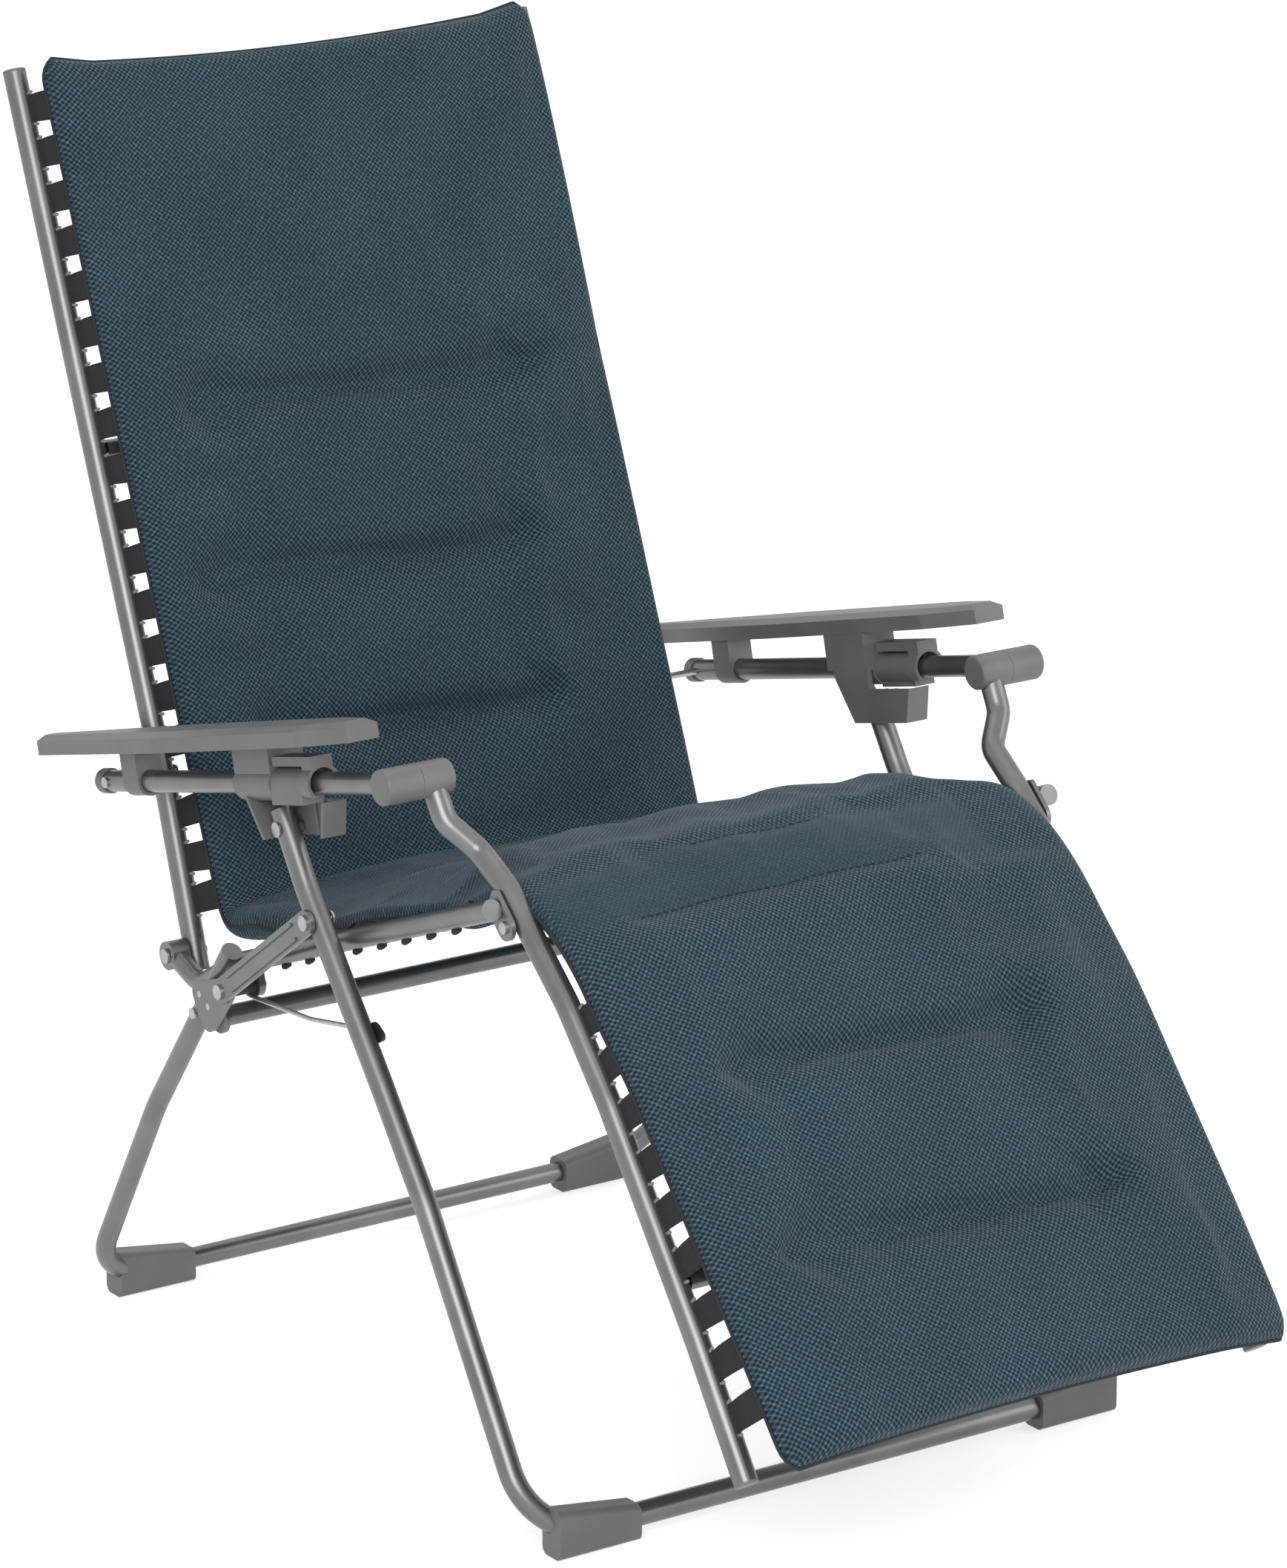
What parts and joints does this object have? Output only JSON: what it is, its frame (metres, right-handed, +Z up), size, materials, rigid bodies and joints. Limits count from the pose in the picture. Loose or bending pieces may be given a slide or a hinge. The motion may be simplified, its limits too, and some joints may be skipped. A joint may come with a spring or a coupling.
{
  "type": "reclining garden armchair",
  "caption": "Folding reclining garden armchair: tubular frame, sliding armrests on rails, padded mat from back to leg rest hung in elastic clips.",
  "frame": {"origin": "floor level, under the centre of the chair's overall width and length", "axes": "+Z up, the sitter faces -Y, +X to the sitter's left"},
  "size_m": [0.692, 1.1496, 1.0899],
  "materials": {
    "metal": "satin drawn tube",
    "steel": "plain zinc plated",
    "grey_plastic": "matt moulded, warm grey",
    "black_plastic": "matt moulded, black",
    "cushion": "spacer mesh knit, teal blue"
  },
  "bodies": {
    "root": {"front_floor_bar": "metal", "link_spacers": "black_plastic", "front_frame_pins": "steel", "catch_knobs": "black_plastic", "front_leg_left": "metal", "front_leg_right": "metal", "front_shoe_left": "grey_plastic", "front_shoe_right": "grey_plastic", "link_left": "metal", "link_right": "metal"},
    "rear_frame": {"rear_floor_bar": "metal", "cross_flanges": "metal", "hip_rivets": "steel", "hip_cross_tube": "metal", "rear_leg_left": "metal", "rear_leg_right": "metal", "rear_shoe_left": "grey_plastic", "rear_shoe_right": "grey_plastic", "hip_plate_left": "metal", "hip_plate_right": "metal"},
    "catch_wire_left": {"catch_wire_left": "steel"},
    "catch_wire_right": {"catch_wire_right": "steel"},
    "seat": {"knee_plates": "metal", "knee_spacers": "black_plastic", "seat_frame_pins": "steel", "seat_mat": "cushion", "crease_mat": "cushion", "knee_mat": "cushion", "seat_clips": "black_plastic", "seat_tube_left": "metal", "seat_tube_right": "metal"},
    "back": {"back_plugs": "grey_plastic", "back_brace": "metal", "rail_pins": "steel", "back_mat": "cushion", "back_clips": "black_plastic", "back_tube_left": "metal", "back_tube_right": "metal"},
    "rails": {"rail_caps": "grey_plastic", "rail_left": "metal", "rail_right": "metal", "barrel_outer_left": "grey_plastic", "barrel_outer_right": "grey_plastic"},
    "legrest": {"legrest_brace": "metal", "legrest_plugs": "grey_plastic", "legrest_mat": "cushion", "legrest_clips": "black_plastic", "barrel_inner_left": "grey_plastic", "barrel_inner_right": "grey_plastic", "legrest_tube_left": "metal", "legrest_tube_right": "metal"},
    "armrests": {"rear_guides": "grey_plastic", "clamp_sleeves": "grey_plastic", "armrest_left": "grey_plastic", "armrest_right": "grey_plastic", "armrest_bracket_left": "grey_plastic", "armrest_bracket_right": "grey_plastic"},
    "lock_lever_left": {"lock_lever_left": "grey_plastic"},
    "lock_lever_right": {"lock_lever_right": "grey_plastic"}
  },
  "joints": [
    {"name": "seat_tilt", "type": "hinge", "parent": "root", "child": "seat", "pos_m": [0, 0.155, 0.363], "axis": [-1, 0, 0], "range_deg": [-2.4, 9.2]},
    {"name": "back_recline", "type": "hinge", "parent": "seat", "child": "back", "pos_m": [0, 0.2896, 0.3531], "axis": [-1, 0, 0], "range_deg": [-3.92, 15.01], "deforming": ["crease_mat"]},
    {"name": "legrest_lift", "type": "hinge", "parent": "seat", "child": "legrest", "pos_m": [0, -0.2109, 0.5085], "axis": [-1, 0, 0], "range_deg": [-5.42, 20.79], "deforming": ["knee_mat"]},
    {"name": "rail_turn", "type": "hinge", "parent": "back", "child": "rails", "pos_m": [0, 0.3364, 0.5021], "axis": [-1, 0, 0], "range_deg": [-17.71, 4.62]},
    {"name": "armrest_slide", "type": "slide", "parent": "rails", "child": "armrests", "axis": [0, -0.9723, 0.2339], "range_m": [-0.01654, 0.06341]},
    {"name": "rear_frame_fold", "type": "hinge", "parent": "root", "child": "rear_frame", "pos_m": [0, 0.155, 0.363], "axis": [-1, 0, 0], "range_deg": [0, 35]},
    {"name": "catch_wire_left_swing", "type": "hinge", "parent": "root", "child": "catch_wire_left", "pos_m": [0.2885, -0.048, 0.3786], "axis": [-1, 0, 0], "range_deg": [0, 50]},
    {"name": "catch_wire_right_swing", "type": "hinge", "parent": "root", "child": "catch_wire_right", "pos_m": [-0.2885, -0.048, 0.3786], "axis": [-1, 0, 0], "range_deg": [0, 50]},
    {"name": "lock_lever_left_turn", "type": "hinge", "parent": "armrests", "child": "lock_lever_left", "pos_m": [0.308, 0.00524, 0.58175], "axis": [0, -0.9723, 0.2339], "range_deg": [0, 50]},
    {"name": "lock_lever_right_turn", "type": "hinge", "parent": "armrests", "child": "lock_lever_right", "pos_m": [-0.308, 0.00524, 0.58175], "axis": [0, 0.9723, -0.2339], "range_deg": [0, 50]}
  ],
  "couplings": [
    {"joint": "back_recline", "follows": "seat_tilt", "ratio": 1.632},
    {"joint": "legrest_lift", "follows": "seat_tilt", "ratio": 2.2597},
    {"joint": "rail_turn", "follows": "seat_tilt", "ratio": -1.9249},
    {"joint": "armrest_slide", "follows": "seat_tilt", "m_per_rad": 0.3949}
  ]
}
